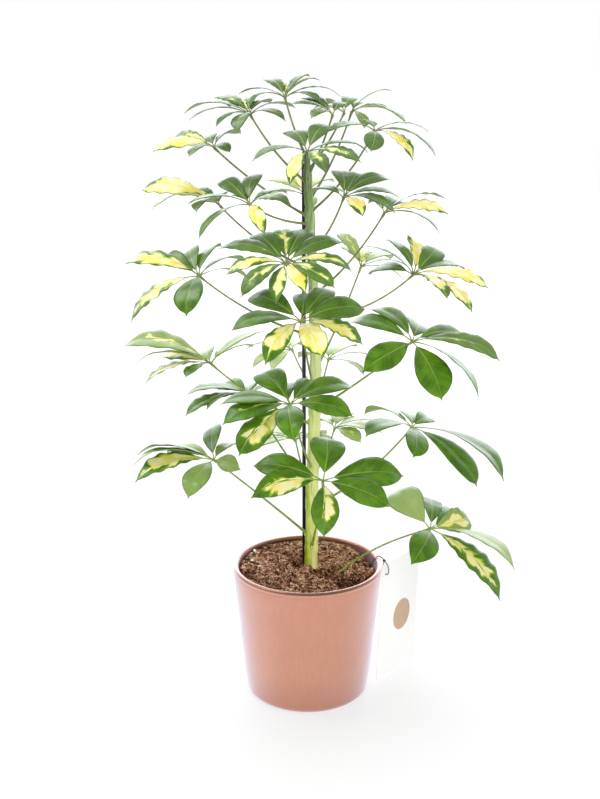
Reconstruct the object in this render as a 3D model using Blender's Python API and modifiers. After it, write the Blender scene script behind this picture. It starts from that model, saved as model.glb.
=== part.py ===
"""Variegated umbrella plant on a stake, growing in a tapered copper-glazed pot, with a tied card.

Units are metres, +Z is up and the front is -Y. The origin is the centre of the pot's flat foot.
The plant's own plan is given in millimetres and degrees and is turned into metres by MM.
"""
import math

import bmesh
import bpy
from mathutils import Vector

MM = 0.001
COLLECTION = "potted_umbrella_plant"
GAP = 0.0003                    # clearance kept between pieces that touch
WELD = 0.000001
SMOOTH_UNDER = math.radians(40)

# Pot: a turned earthenware cover pot, glazed, with a rounded lip and a rounded foot
POT_HEIGHT = 0.172
POT_RIM_RADIUS = 0.095
POT_FOOT_RADIUS = 0.078
POT_WALL = 0.0065
POT_FLOOR = 0.009
POT_FOOT_ROUND = 0.009
POT_SIDES = 40
LIP_STEPS = 6
FOOT_STEPS = 4

# Soil: its level at the pot's axis, its fall from there to the front right, and the lip's rounding,
# which it stays under
SOIL_LEVEL = 0.1625
SOIL_FALL = 0.006
SOIL_EDGE = 0.1672
SOIL_LOWEST = 0.150
SOIL_RINGS = 5
SOIL_BUMP = 0.0011
SOIL_WAVE = 0.045

# Stem: height, drift to the right and to the back, and radius, from below the soil to the growing tip
STEM = ((105, 4, 12, 8.0), (160, 4, 10, 8.4), (205, 5, 6, 7.4), (255, 5, 2, 7.0), (300, 6, 0, 7.2),
        (360, 8, 0, 6.8), (420, 9, 0, 6.6), (470, 9, 0, 6.2), (530, 6, 0, 5.6), (590, 3, 0, 5.0),
        (640, 0, 0, 4.2), (684, -2, 0, 3.0))
STEM_ROUNDING = 3

# Stake: a plain coated rod behind the stem's left side
STAKE_RADIUS = 0.0024
STAKE_FOOT = (-0.0065, 0.0200, 0.060)
STAKE_TOP = (-0.0055, 0.0135, 0.672)
ROD_ROUNDING = 3

# Card on its string, standing beside the pot's right side
CARD_WIDTH = 0.096
CARD_HEIGHT = 0.158
CARD_THICKNESS = 0.0006
CARD_CORNER = (0.090, -0.002, 0.0075)       # lower corner next to the pot
CARD_TURN = math.radians(55)                # its width runs back and to the right
CARD_LEAN = math.radians(4)                 # its long edge follows the pot's slope
CARD_HOLE_RADIUS = 0.002
CARD_HOLE = (0.008, 0.144)                  # across and up from the lower corner
PUNCH_REACH = 0.004                         # how far the hole's cutter stands out on either side
DISC_RADIUS = 0.0213
DISC_SIDES = 32
DISC_THICKNESS = 0.0003
DISC_CENTRE = (0.0565, 0.0745)
DISC_GAP = 0.00005

# String: from the soil, over the lip to its knot, through the card's hole and back to the knot
STRING_RADIUS = 0.0006
STRING_FROM_SOIL = ((80, 14, 146), (82, 14.6, 158), (85.2, 15.2, 169), (90.5, 15.8, 173.9),
                    (95, 15.6, 172.6), (98.5, 15, 168.5), (102.8, 12, 163), (104.4, 10.6, 156))
STRING_FROM_HOLE = ((96.8, 15.8, 156), (97.4, 15.6, 162), (98.5, 15.0, 166.9))
STRING_THROUGH = 0.003
STRING_POINTS = 34
STRING_ROUNDING = 2
KNOT_CENTRE = (98.5, 15, 168.0)
KNOT_RADIUS = 0.0019

# Leaves: bearings are degrees seen from above, 0 to the right (+X) and 90 to the back (+Y)
PETIOLE_FOOT_RADIUS = 0.0021
PETIOLE_TOP_RADIUS = 0.0011
PETIOLE_POINTS = 6
PETIOLE_BEND_AT = 0.55                      # where it bends, as a share of its reach
PETIOLE_ROUNDING = 0                        # four-sided
HUB_RADIUS = 0.0028
LEAN = 4.0                                  # how fast a whorl tips outward, per metre of reach
FACING = 0.45                               # how far the lowest whorls turn to the light in front
FACING_ENDS = 0.78                          # height where they stop doing so
BLADE_WIDTH = 0.23                          # half width, as a share of a leaflet's length
BLADE_ARCH = 0.10
BLADE_FOLD = 0.16
BLADE_THICKNESS = 0.0014
STALK_HALF = 0.0008
STALK_START = 0.0014                        # from the hub's centre, inside its ball
# share of a leaflet's length, and of its half width
BLADE_STATIONS = ((0.15, 0.10), (0.42, 0.82), (0.72, 0.90), (1.0, 0.0))

# The lowest leaf comes up through the soil by itself: its foot, and the bend that its petiole follows
SHOOT_FOOT = (17, 3, 132)
SHOOT_BEND = (62, -8, 196)

# Each leaf: name, hub, its petiole as (height where it leaves the stem, sag as a share of its reach),
# and its leaflets as (bearing, rise, length)
LEAVES = (
    ("leaf_01_low_right", (150, -40, 234), None,
     ((120, 20, 85), (85, 10, 80), (60, 0, 80), (30, 3, 64), (330, -8, 115), (318, -27, 122),
      (250, -8, 82))),
    ("leaf_02_left", (-116, -10, 313), (204, -0.02),
     ((204, -4, 102), (188, 6, 98), (170, 6, 98), (247, -15, 75), (148, 2, 75), (93, 21, 75),
      (318, -2, 45), (60, 12, 50))),
    ("leaf_03_back", (-16, 110, 301), (257, 0.08),
     ((206, -2, 70), (128, -3, 70), (160, -8, 60), (90, -10, 70), (50, -5, 65), (10, -5, 60))),
    ("leaf_04_front", (17, -100, 318), (189, 0.10),
     ((85, 26, 80), (164, 9, 87), (198, -4, 87), (277, -28, 80), (10, 2, 98), (337, -11, 84))),
    ("leaf_05_back", (36, 100, 320), (285, 0.10),
     ((311, -5, 50), (328, 8, 60), (0, -4, 65), (35, 0, 70), (75, 0, 75), (110, -5, 65))),
    ("leaf_06_right", (130, 20, 346), (247, 0.16),
     ((130, 4, 85), (224, 10, 85), (60, -2, 60), (92, 0, 62), (268, -8, 78), (328, -14, 135),
      (322, -28, 112))),
    ("leaf_07_back_left", (-73, 42, 382), (270, 0.08),
     ((165, 4, 72), (185, 6, 80), (203, -8, 88), (222, 0, 70), (130, -2, 70), (90, -5, 65),
      (50, 0, 60))),
    ("leaf_08_front", (-21, -100, 410), (297, 0.10),
     ((122, 20, 76), (97, 8, 66), (62, 14, 66), (190, 6, 80), (206, -4, 84), (222, -28, 88),
      (273, -10, 75), (18, 15, 78), (340, -2, 75))),
    ("leaf_09_back", (27, 100, 413), (385, 0.08),
     ((10, 4, 60), (50, 10, 60), (90, 2, 70), (130, -5, 62), (330, -8, 55))),
    ("leaf_10_back_left", (-20, 110, 424), (400, 0.08),
     ((115, -6, 60), (200, -14, 58), (160, 0, 65), (75, -4, 60), (235, -18, 50))),
    ("leaf_11_left", (-118, 0, 433), (355, 0.12),
     ((170, 14, 112), (190, 8, 92), (206, -6, 86), (150, 2, 74), (235, -4, 50), (53, 8, 80),
      (26, 26, 84), (100, 6, 55))),
    ("leaf_12_right", (124, -20, 465), (374, 0.04),
     ((299, -38, 85), (221, -14, 82), (125, 22, 84), (155, 16, 84), (78, 3, 82), (25, 0, 82),
      (345, -4, 108), (322, -24, 108))),
    ("leaf_13_front", (-9, -120, 511), (397, 0.08),
     ((86, 18, 70), (58, 24, 74), (146, 19, 76), (192, 0, 78), (236, -24, 75), (289, -16, 72),
      (14, 10, 76), (342, -14, 74))),
    ("leaf_14_back", (67, 90, 536), (425, 0.08),
     ((130, 44, 60), (115, 20, 60), (86, 14, 60), (50, 8, 65), (15, 2, 62), (340, -8, 58))),
    ("leaf_15_right", (125, 0, 542), (490, 0.20),
     ((115, 30, 74), (152, 26, 74), (135, -2, 72), (88, 34, 74), (58, 20, 74), (25, 4, 76),
      (340, -4, 90), (300, -10, 72), (322, -20, 88))),
    ("leaf_16_left", (-128, -20, 544), (466, 0.12),
     ((170, 12, 90), (208, -24, 96), (260, -22, 74), (140, 16, 68), (104, 22, 70), (72, 26, 72),
      (45, 12, 74), (20, 0, 60))),
    ("leaf_17_front", (-25, -110, 573), (508, 0.05),
     ((124, 24, 72), (96, 30, 68), (68, 28, 72), (24, 20, 74), (345, 2, 72), (292, -18, 58),
      (315, -10, 72), (166, 14, 80), (198, -2, 66), (228, -16, 72), (258, -30, 62))),
    ("leaf_18_left", (-103, -10, 625), (548, 0.14),
     ((172, 14, 96), (212, 6, 88), (135, 18, 52), (245, 6, 60), (90, 8, 55))),
    ("leaf_19_right", (90, 10, 614), (518, 0.16),
     ((336, -10, 72), (356, 4, 76), (18, 14, 80), (113, 16, 42), (70, 10, 60))),
    ("leaf_20_back", (-4, 100, 625), (578, 0.08),
     ((145, 18, 60), (103, 20, 60), (50, 18, 60), (286, -12, 40), (180, 0, 55), (15, 4, 55))),
    ("leaf_21_front_left", (-66, -60, 632), (603, 0.12),
     ((130, 26, 62), (110, 8, 55), (82, 32, 62), (46, 12, 60), (322, 10, 58), (287, -20, 60),
      (186, 4, 72), (212, -22, 74))),
    ("leaf_22_front_right", (38, -90, 643), (572, 0.16),
     ((94, 26, 62), (70, 24, 62), (26, 22, 62), (126, 4, 60), (2, 4, 64), (335, -8, 62),
      (294, -14, 50))),
    ("leaf_23_left", (-110, 10, 690), (610, 0.08),
     ((205, 2, 74), (238, -4, 50), (150, 6, 70), (60, 18, 58), (100, 8, 60), (300, 0, 40))),
    ("leaf_24_front", (-2, -90, 692), (640, 0.08),
     ((112, 20, 62), (64, 28, 62), (198, -1, 62), (12, 6, 68), (338, -4, 62), (292, -16, 56),
      (250, -26, 62))),
    ("leaf_25_right", (74, -40, 712), (616, 0.16),
     ((262, -24, 42), (205, 4, 60), (350, 4, 60), (320, -8, 76), (292, -18, 60), (100, 8, 50))),
    ("leaf_26_left", (-67, 0, 728), (650, 0.16),
     ((170, 6, 78), (196, -1, 72), (226, -8, 55), (255, -12, 55), (140, 20, 60), (118, 12, 60),
      (92, 18, 60), (68, 14, 60), (30, 10, 60), (325, 0, 50))),
    ("leaf_27_young_front", (27, -30, 729), (657, 0.10),
     ((137, 22, 52), (235, 4, 42), (180, 18, 48), (70, 20, 40))),
    ("leaf_28_young_right", (42, 25, 729), (664, 0.12),
     ((110, 14, 52), (75, 20, 50), (160, 8, 40), (200, 6, 42))),
    ("leaf_29_young_back", (52, 55, 729), (630, 0.16),
     ((318, -4, 84), (24, 28, 58), (350, 4, 50), (290, -18, 44), (80, 10, 50))),
    ("leaf_30_top", (-27, 0, 747), (680, 0.18),
     ((118, 24, 52), (84, 20, 50), (50, 34, 50), (25, 30, 48), (350, 8, 64), (322, 0, 52),
      (172, 8, 54), (205, 0, 46))),
)


def clear_scene():
    for thing in list(bpy.data.objects):
        bpy.data.objects.remove(thing, do_unlink=True)


def collection(name):
    made = bpy.data.collections.new(name)
    bpy.context.scene.collection.children.link(made)
    return made


def material(name, colour, roughness, metallic=0.0):
    made = bpy.data.materials.new(name)
    made.use_nodes = True
    shader = made.node_tree.nodes["Principled BSDF"]
    shader.inputs["Base Color"].default_value = (*colour, 1.0)
    shader.inputs["Roughness"].default_value = roughness
    shader.inputs["Metallic"].default_value = metallic
    return made


def add_object(name, data, finish, home):
    made = bpy.data.objects.new(name, data)
    home.objects.link(made)
    if finish:
        data.materials.append(finish)
    return made


def add_cutter(name, data, home):
    made = add_object(name, data, None, home)
    made.hide_render = True
    made.display_type = "WIRE"
    return made


def cut(target, cutter):
    step = target.modifiers.new("cut_" + cutter.name, "BOOLEAN")
    step.operation = "DIFFERENCE"
    step.solver = "EXACT"
    step.use_self = True
    step.object = cutter


def shade_smooth(shape):
    shape.shade_smooth()
    shape.set_sharp_from_angle(angle=SMOOTH_UNDER)


def tube_mesh(name, points, radii, resolution):
    """A closed tube through the points, with its own radius at each one."""
    curve = bpy.data.curves.new(name, "CURVE")
    curve.dimensions = "3D"
    curve.bevel_depth = 1.0
    curve.bevel_resolution = resolution
    curve.use_fill_caps = True
    line = curve.splines.new("POLY")
    line.points.add(len(points) - 1)
    for spot, place, radius in zip(line.points, points, radii):
        spot.co = (*place, 1.0)
        spot.radius = radius
    carrier = bpy.data.objects.new(name, curve)
    bpy.context.scene.collection.objects.link(carrier)
    depsgraph = bpy.context.evaluated_depsgraph_get()
    shape = bpy.data.meshes.new_from_object(carrier.evaluated_get(depsgraph))
    bpy.data.objects.remove(carrier)
    bpy.data.curves.remove(curve)
    bm = bmesh.new()
    bm.from_mesh(shape)
    bmesh.ops.remove_doubles(bm, verts=bm.verts, dist=WELD)
    bmesh.ops.recalc_face_normals(bm, faces=bm.faces)
    bm.to_mesh(shape)
    bm.free()
    shape.name = name
    shade_smooth(shape)
    return shape


def smooth_points(points, count):
    """Points read evenly from a smooth curve that passes through the given ones."""
    ends = [points[0] * 2 - points[1], *points, points[-1] * 2 - points[-2]]
    spans = len(points) - 1
    out = []
    for step in range(count):
        at = spans * step / (count - 1)
        span = min(int(at), spans - 1)
        t = at - span
        a, b, c, d = ends[span:span + 4]
        out.append(0.5 * (2 * b + (c - a) * t + (2 * a - 5 * b + 4 * c - d) * t * t
                          + (3 * b - a - 3 * c + d) * t ** 3))
    return out


def pot_outside(z):
    return POT_FOOT_RADIUS + (POT_RIM_RADIUS - POT_FOOT_RADIUS) * z / POT_HEIGHT


def pot_inside(z):
    return pot_outside(z) - POT_WALL


def arc(centre_x, centre_z, radius, start, end, steps):
    return [(centre_x + radius * math.cos(math.radians(start + (end - start) * i / steps)),
             centre_z + radius * math.sin(math.radians(start + (end - start) * i / steps)))
            for i in range(steps + 1)]


def turned_mesh(profile, name):
    """A profile at +X, running from the axis over the outside and back to the axis."""
    bm = bmesh.new()
    spots = [bm.verts.new((x, 0.0, z)) for x, z in profile]
    for a, b in zip(spots, spots[1:]):
        bm.edges.new((a, b))
    shape = bpy.data.meshes.new(name)
    bm.to_mesh(shape)
    bm.free()
    return shape


def add_screw(thing):
    turn = thing.modifiers.new("turn", "SCREW")
    turn.steps = POT_SIDES
    turn.render_steps = POT_SIDES
    turn.use_merge_vertices = True
    turn.merge_threshold = WELD
    turn.use_smooth_shade = True


def build_pot(finish, home):
    lip = POT_WALL / 2
    top = POT_HEIGHT - lip
    foot_x = pot_outside(0) - POT_FOOT_ROUND
    profile = [(0.0, POT_FLOOR), (pot_inside(POT_FLOOR), POT_FLOOR)]
    profile += arc(pot_outside(top) - lip, top, lip, 180, 0, LIP_STEPS)
    profile += arc(foot_x, POT_FOOT_ROUND, POT_FOOT_ROUND, 0, -90, FOOT_STEPS)
    profile += [(0.0, 0.0)]
    add_screw(add_object("pot", turned_mesh(profile, "pot"), finish, home))


def soil_height(x, y):
    """The soil's surface: it falls to the front right and is lightly uneven."""
    fall = SOIL_FALL * (x - y) / POT_RIM_RADIUS
    wave = 2 * math.pi / SOIL_WAVE
    bumps = math.sin(x * wave + 1) * math.cos(y * wave) + math.sin(2 * wave * (x - y)) / 2
    return min(SOIL_LEVEL - fall + SOIL_BUMP * bumps, SOIL_EDGE)


def build_soil(finish, home):
    """A plug that fills the pot, from its floor to an uneven surface."""
    bm = bmesh.new()
    floor = POT_FLOOR + GAP
    turns = [2 * math.pi * i / POT_SIDES for i in range(POT_SIDES)]
    rings = []
    for share in [i / SOIL_RINGS for i in range(1, SOIL_RINGS + 1)]:
        ring = []
        for turn in turns:
            reach = (pot_inside(SOIL_LOWEST) - GAP) * share
            x, y = reach * math.cos(turn), reach * math.sin(turn)
            z = soil_height(x, y)
            if share == 1:
                reach = pot_inside(z) - 2 * GAP
                x, y = reach * math.cos(turn), reach * math.sin(turn)
            ring.append(bm.verts.new((x, y, z)))
        rings.append(ring)
    reach = pot_inside(floor) - 2 * GAP
    rings.append([bm.verts.new((reach * math.cos(t), reach * math.sin(t), floor)) for t in turns])
    middle = bm.verts.new((0.0, 0.0, soil_height(0.0, 0.0)))
    under = bm.verts.new((0.0, 0.0, floor))
    for i in range(POT_SIDES):
        j = (i + 1) % POT_SIDES
        bm.faces.new((middle, rings[0][i], rings[0][j]))
        for inner, outer in zip(rings, rings[1:]):
            bm.faces.new((inner[i], outer[i], outer[j], inner[j]))
        bm.faces.new((under, rings[-1][j], rings[-1][i]))
    bmesh.ops.recalc_face_normals(bm, faces=bm.faces)
    shape = bpy.data.meshes.new("soil")
    bm.to_mesh(shape)
    bm.free()
    return add_object("soil", shape, finish, home)


def stem_points():
    return [Vector((x * MM, y * MM, z * MM)) for z, x, y, _ in STEM]


def stem_at(height):
    """The point of the stem's axis at a height in metres; above its tip, the point over the tip."""
    spots = stem_points()
    for low, high in zip(spots, spots[1:]):
        if height <= high.z:
            return low.lerp(high, (height - low.z) / (high.z - low.z))
    return Vector((spots[-1].x, spots[-1].y, height))


def build_stem(finish, home, cutters):
    radii = [radius * MM for *_, radius in STEM]
    shape = tube_mesh("stem", stem_points(), radii, STEM_ROUNDING)
    wide = tube_mesh("stem_seat", stem_points(), [r + GAP for r in radii], STEM_ROUNDING)
    for spot in wide.vertices:
        if spot.co.z < STEM[0][0] * MM + GAP:
            spot.co.z -= GAP
        if spot.co.z > STEM[-1][0] * MM - GAP:
            spot.co.z += GAP
    add_object("stem", shape, finish, home)
    return add_cutter("stem_seat", wide, cutters)


def rod_mesh(name, foot, top, radius):
    return tube_mesh(name, [Vector(foot), Vector(top)], [radius, radius], ROD_ROUNDING)


def build_stake(finish, home, cutters):
    add_object("stake", rod_mesh("stake", STAKE_FOOT, STAKE_TOP, STAKE_RADIUS), finish, home)
    wide = rod_mesh("stake_seat", STAKE_FOOT, STAKE_TOP, STAKE_RADIUS + GAP)
    for spot in wide.vertices:
        if spot.co.z < STAKE_FOOT[2] + GAP:
            spot.co.z -= GAP
    return add_cutter("stake_seat", wide, cutters)


def card_frame():
    """Corner, and the directions across, up and out of the card's front face."""
    across = Vector((math.cos(CARD_TURN), math.sin(CARD_TURN), 0.0))
    up = Vector((0.0, 0.0, 1.0)) * math.cos(CARD_LEAN) + across * math.sin(CARD_LEAN)
    across = across * math.cos(CARD_LEAN) - Vector((0.0, 0.0, 1.0)) * math.sin(CARD_LEAN)
    return Vector(CARD_CORNER), across, up, across.cross(up)


def on_card(across_by, up_by, out_by=0.0):
    corner, across, up, out = card_frame()
    return corner + across * across_by + up * up_by + out * out_by


def plate_mesh(name, outline, thickness):
    """A flat plate with its front face on the outline, which is a list of (across, up)."""
    bm = bmesh.new()
    bottom = [bm.verts.new(on_card(a, u, -thickness)) for a, u in outline]
    face = bm.faces.new(bottom)
    grown = bmesh.ops.extrude_face_region(bm, geom=[face])
    front = [part for part in grown["geom"] if isinstance(part, bmesh.types.BMVert)]
    bmesh.ops.translate(bm, vec=card_frame()[3] * thickness, verts=front)
    bmesh.ops.recalc_face_normals(bm, faces=bm.faces)
    shape = bpy.data.meshes.new(name)
    bm.to_mesh(shape)
    bm.free()
    return shape


def build_card(paper, tan, home, cutters):
    outline = [(0, 0), (CARD_WIDTH, 0), (CARD_WIDTH, CARD_HEIGHT), (0, CARD_HEIGHT)]
    card = add_object("tag_card", plate_mesh("tag_card", outline, CARD_THICKNESS), paper, home)
    punch = rod_mesh("tag_hole", on_card(*CARD_HOLE, -PUNCH_REACH), on_card(*CARD_HOLE, PUNCH_REACH),
                     CARD_HOLE_RADIUS)
    cut(card, add_cutter("tag_hole", punch, cutters))
    centre = Vector(DISC_CENTRE)
    rim = [centre + DISC_RADIUS * Vector((math.cos(t), math.sin(t)))
           for t in (2 * math.pi * i / DISC_SIDES for i in range(DISC_SIDES))]
    disc = add_object("tag_disc", plate_mesh("tag_disc", rim, DISC_THICKNESS), tan, home)
    for spot in disc.data.vertices:
        spot.co += card_frame()[3] * (DISC_THICKNESS + DISC_GAP)


def string_points():
    through = [on_card(*CARD_HOLE, out) for out in (STRING_THROUGH, 0.0, -STRING_THROUGH)]
    out = [Vector(spot) * MM for spot in STRING_FROM_SOIL]
    back = [Vector(spot) * MM for spot in STRING_FROM_HOLE]
    return smooth_points(out + through + back, STRING_POINTS)


def build_string(twine, home, cutters):
    points = string_points()
    thin, wide = [STRING_RADIUS] * len(points), [STRING_RADIUS + GAP] * len(points)
    add_object("tag_string", tube_mesh("tag_string", points, thin, STRING_ROUNDING), twine, home)
    seat = add_cutter("string_seat", tube_mesh("string_seat", points, wide, STRING_ROUNDING), cutters)
    ball = bpy.data.meshes.new("tag_knot")
    bm = bmesh.new()
    bmesh.ops.create_icosphere(bm, subdivisions=2, radius=KNOT_RADIUS)
    bmesh.ops.translate(bm, vec=Vector(KNOT_CENTRE) * MM, verts=bm.verts)
    bm.to_mesh(ball)
    bm.free()
    shade_smooth(ball)
    cut(add_object("tag_knot", ball, twine, home), seat)
    return seat


def add_blade(bm, hub, axis, bearing, rise, length):
    """One leaflet on its stalk: a thin lens-shaped loft, folded along its midrib and arched."""
    turn, lift = math.radians(bearing), math.radians(rise)
    along = Vector((math.cos(turn) * math.cos(lift), math.sin(turn) * math.cos(lift), math.sin(lift)))
    face = (axis - along * axis.dot(along)).normalized()
    side = along.cross(face)
    length = length * MM
    half = BLADE_WIDTH * length
    start = hub + along * STALK_START
    rings = [[start + side * (STALK_HALF * a) + face * (STALK_HALF * b)
              for a, b in ((-1, 0), (0, 1), (1, 0), (0, -1))]]
    for share, width in BLADE_STATIONS:
        rib = hub + along * (length * share) + face * (BLADE_ARCH * length * math.sin(math.pi * share))
        if width == 0:
            rings.append([rib])
            continue
        reach, edge, thick = half * width, BLADE_FOLD * half * width, BLADE_THICKNESS / 2
        rings.append([rib - side * reach + face * edge, rib + face * thick,
                      rib + side * reach + face * edge, rib - face * thick])
    rings = [[bm.verts.new(spot) for spot in ring] for ring in rings]
    bm.faces.new(rings[0])
    for near, far in zip(rings, rings[1:]):
        for i in range(4):
            j = (i + 1) % 4
            if len(far) == 1:
                bm.faces.new((near[j], near[i], far[0]))
            else:
                bm.faces.new((near[j], near[i], far[i], far[j]))


def petiole_points(hub, petiole):
    if petiole is None:
        foot, bend = Vector(SHOOT_FOOT) * MM, Vector(SHOOT_BEND) * MM
    else:
        height, sag = petiole
        foot = stem_at(height * MM)
        reach = hub - foot
        bend = foot + reach * PETIOLE_BEND_AT - Vector((0.0, 0.0, sag * reach.length))
    points = []
    for step in range(PETIOLE_POINTS):
        t = step / (PETIOLE_POINTS - 1)
        points.append(foot * (1 - t) ** 2 + bend * (2 * t * (1 - t)) + hub * t * t)
    return points


def petiole_radii(clearance=0.0):
    last = PETIOLE_POINTS - 1
    return [PETIOLE_FOOT_RADIUS + (PETIOLE_TOP_RADIUS - PETIOLE_FOOT_RADIUS) * i / last + clearance
            for i in range(PETIOLE_POINTS)]


def build_leaf(name, hub, petiole, leaflets, finish, home, stem_seat):
    hub = Vector(hub) * MM
    points = petiole_points(hub, petiole)
    radii = petiole_radii()
    stalk = tube_mesh("stalk", points, radii, PETIOLE_ROUNDING)
    bm = bmesh.new()
    bm.from_mesh(stalk)
    bpy.data.meshes.remove(stalk)
    ball = bmesh.ops.create_icosphere(bm, subdivisions=1, radius=HUB_RADIUS)
    bmesh.ops.translate(bm, vec=hub, verts=ball["verts"])
    facing = FACING * (1 - hub.z / FACING_ENDS)
    axis = Vector(((hub.x - stem_at(hub.z).x) * LEAN, hub.y * LEAN - facing, 1.0)).normalized()
    for bearing, rise, length in leaflets:
        add_blade(bm, hub, axis, bearing, rise, length)
    bmesh.ops.recalc_face_normals(bm, faces=bm.faces)
    shape = bpy.data.meshes.new(name)
    bm.to_mesh(shape)
    bm.free()
    shade_smooth(shape)
    cut(add_object(name, shape, finish, home), stem_seat)


def main():
    clear_scene()
    home = collection(COLLECTION)
    cutters = collection("cutters")
    copper = material("copper_glaze", (0.60, 0.30, 0.20), 0.35, 0.9)
    peat = material("peat", (0.09, 0.045, 0.028), 0.95)
    bark = material("green_stem", (0.42, 0.50, 0.13), 0.55)
    coated = material("coated_rod", (0.012, 0.012, 0.014), 0.30)
    paper = material("white_card", (0.86, 0.86, 0.84), 0.60)
    tan = material("tan_disc", (0.55, 0.36, 0.22), 0.60)
    twine = material("grey_string", (0.10, 0.10, 0.11), 0.85)
    green = material("variegated_leaf", (0.05, 0.16, 0.04), 0.38)

    build_pot(copper, home)
    soil = build_soil(peat, home)
    stem_seat = build_stem(bark, home, cutters)
    cut(soil, stem_seat)
    cut(soil, build_stake(coated, home, cutters))
    build_card(paper, tan, home, cutters)
    cut(soil, build_string(twine, home, cutters))
    for name, hub, petiole, leaflets in LEAVES:
        build_leaf(name, hub, petiole, leaflets, green, home, stem_seat)
        if petiole is None:
            points = petiole_points(Vector(hub) * MM, None)
            points[0] -= (points[1] - points[0]).normalized() * GAP
            seat = tube_mesh("shoot_seat", points, petiole_radii(GAP), PETIOLE_ROUNDING)
            cut(soil, add_cutter("shoot_seat", seat, cutters))


main()
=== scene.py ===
"""Looks of the potted umbrella plant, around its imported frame.

The plant's plan is in millimetres and degrees, as a grower would note it; everything else is in metres.
Bearings are seen from above: 0 is right (+X), 90 is the back (+Y). The front is -Y.
"""
import math
import random

import bmesh
import bpy
from mathutils import Matrix, Vector, noise


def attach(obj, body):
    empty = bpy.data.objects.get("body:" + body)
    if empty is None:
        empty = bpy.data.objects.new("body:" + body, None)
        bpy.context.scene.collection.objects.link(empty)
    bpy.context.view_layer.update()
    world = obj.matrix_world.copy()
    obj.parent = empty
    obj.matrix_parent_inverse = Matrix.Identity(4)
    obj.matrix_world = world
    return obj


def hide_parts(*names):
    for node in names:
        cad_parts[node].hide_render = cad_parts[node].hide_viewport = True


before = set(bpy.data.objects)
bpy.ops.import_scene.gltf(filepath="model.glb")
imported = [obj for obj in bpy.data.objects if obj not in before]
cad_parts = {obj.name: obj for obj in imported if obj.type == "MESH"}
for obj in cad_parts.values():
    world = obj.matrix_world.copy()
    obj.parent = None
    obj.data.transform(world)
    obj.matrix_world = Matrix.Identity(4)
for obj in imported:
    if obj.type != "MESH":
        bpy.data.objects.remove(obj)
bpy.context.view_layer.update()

MM = 0.001
ROOT = "root"

# ---------------- the plant's plan

# Stem: height, drift to the right and to the back, and radius, from below the soil to the growing tip
STEM = ((105, 4, 12, 8.0), (160, 4, 10, 8.4), (205, 5, 6, 7.4), (255, 5, 2, 7.0), (300, 6, 0, 7.2),
        (360, 8, 0, 6.8), (420, 9, 0, 6.6), (470, 9, 0, 6.2), (530, 6, 0, 5.6), (590, 3, 0, 5.0),
        (640, 0, 0, 4.2), (684, -2, 0, 3.0))

LEAN = 4.0                      # how fast a whorl tips outward, per metre of reach
FACING = 0.45                   # how far the lowest whorls turn to the light in front
FACING_ENDS = 0.78              # height where they stop doing so
HALF_WIDTH = 0.212              # a leaflet's half width, as a share of its length
STALKLET = 0.12                 # share of a leaflet that is its own small stalk
BODY_ENDS = 0.965               # where the rounded blade ends and its narrow drip tip goes on
TIP_WIDTH = 0.07
BLADE_THICKNESS = 0.0004
ALONG_STEPS, ACROSS_STEPS = 26, 10
YOUNG_FROM = 0.35               # leaves above this height are flatter across and bend down more
YOUNG_AT = 0.66
TO_FRONT = Vector((0.0, -0.9, 0.44))
TO_BACK = Vector((0.0, 0.6, 0.8))

# The lowest leaf comes up through the soil by itself: its foot, and the bend that its petiole follows
SHOOT_FOOT = (17, 3, 132)
SHOOT_BEND = (62, -8, 196)

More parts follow.
